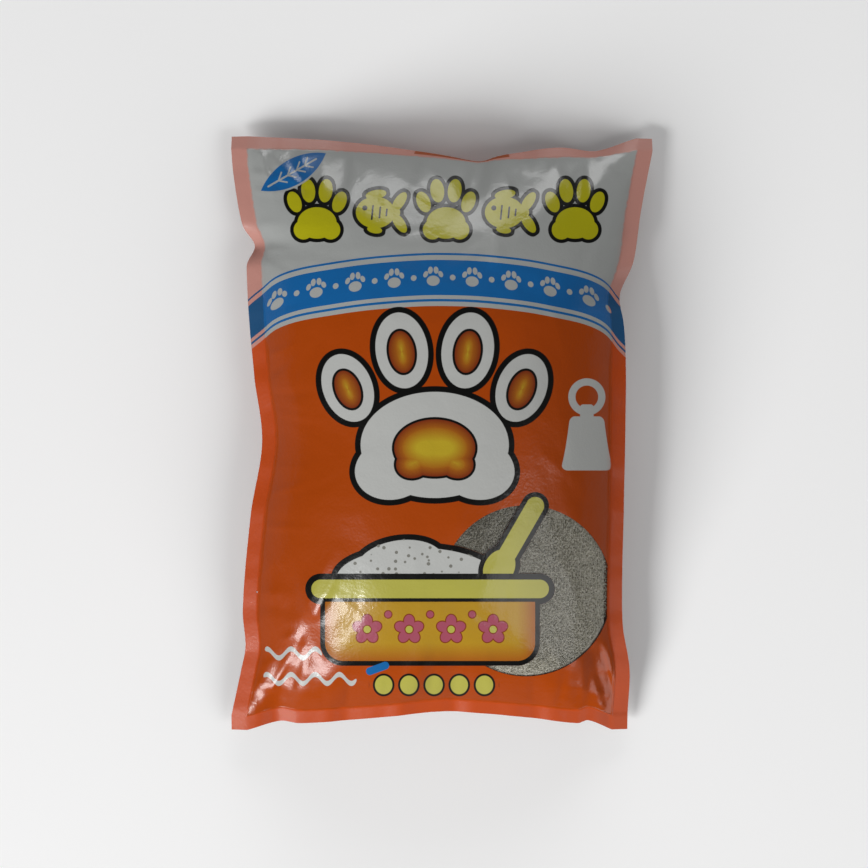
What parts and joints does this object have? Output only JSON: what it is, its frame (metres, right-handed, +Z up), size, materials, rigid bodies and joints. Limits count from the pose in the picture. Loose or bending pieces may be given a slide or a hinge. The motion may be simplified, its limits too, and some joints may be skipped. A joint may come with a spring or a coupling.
{
  "type": "cat litter bag",
  "caption": "Heat-sealed film pillow pouch filled with clay litter, lying on its back with a clear window in its printed front.",
  "frame": {"origin": "middle of the bounding box in plan, on the surface that the bag lies on", "axes": "+X to the bag's right as its front is read, +Y from the foot seal to the top seal, +Z up out of the printed front"},
  "size_m": [0.2835, 0.3996, 0.0952],
  "materials": {
    "printed_film": "glossy printed polyethylene film, soft creases",
    "clay_granules": "dry grey clay granules, one to two millimetres"
  },
  "bodies": {
    "root": {"film_bag": "printed_film", "litter_fill": "clay_granules"}
  },
  "joints": []
}
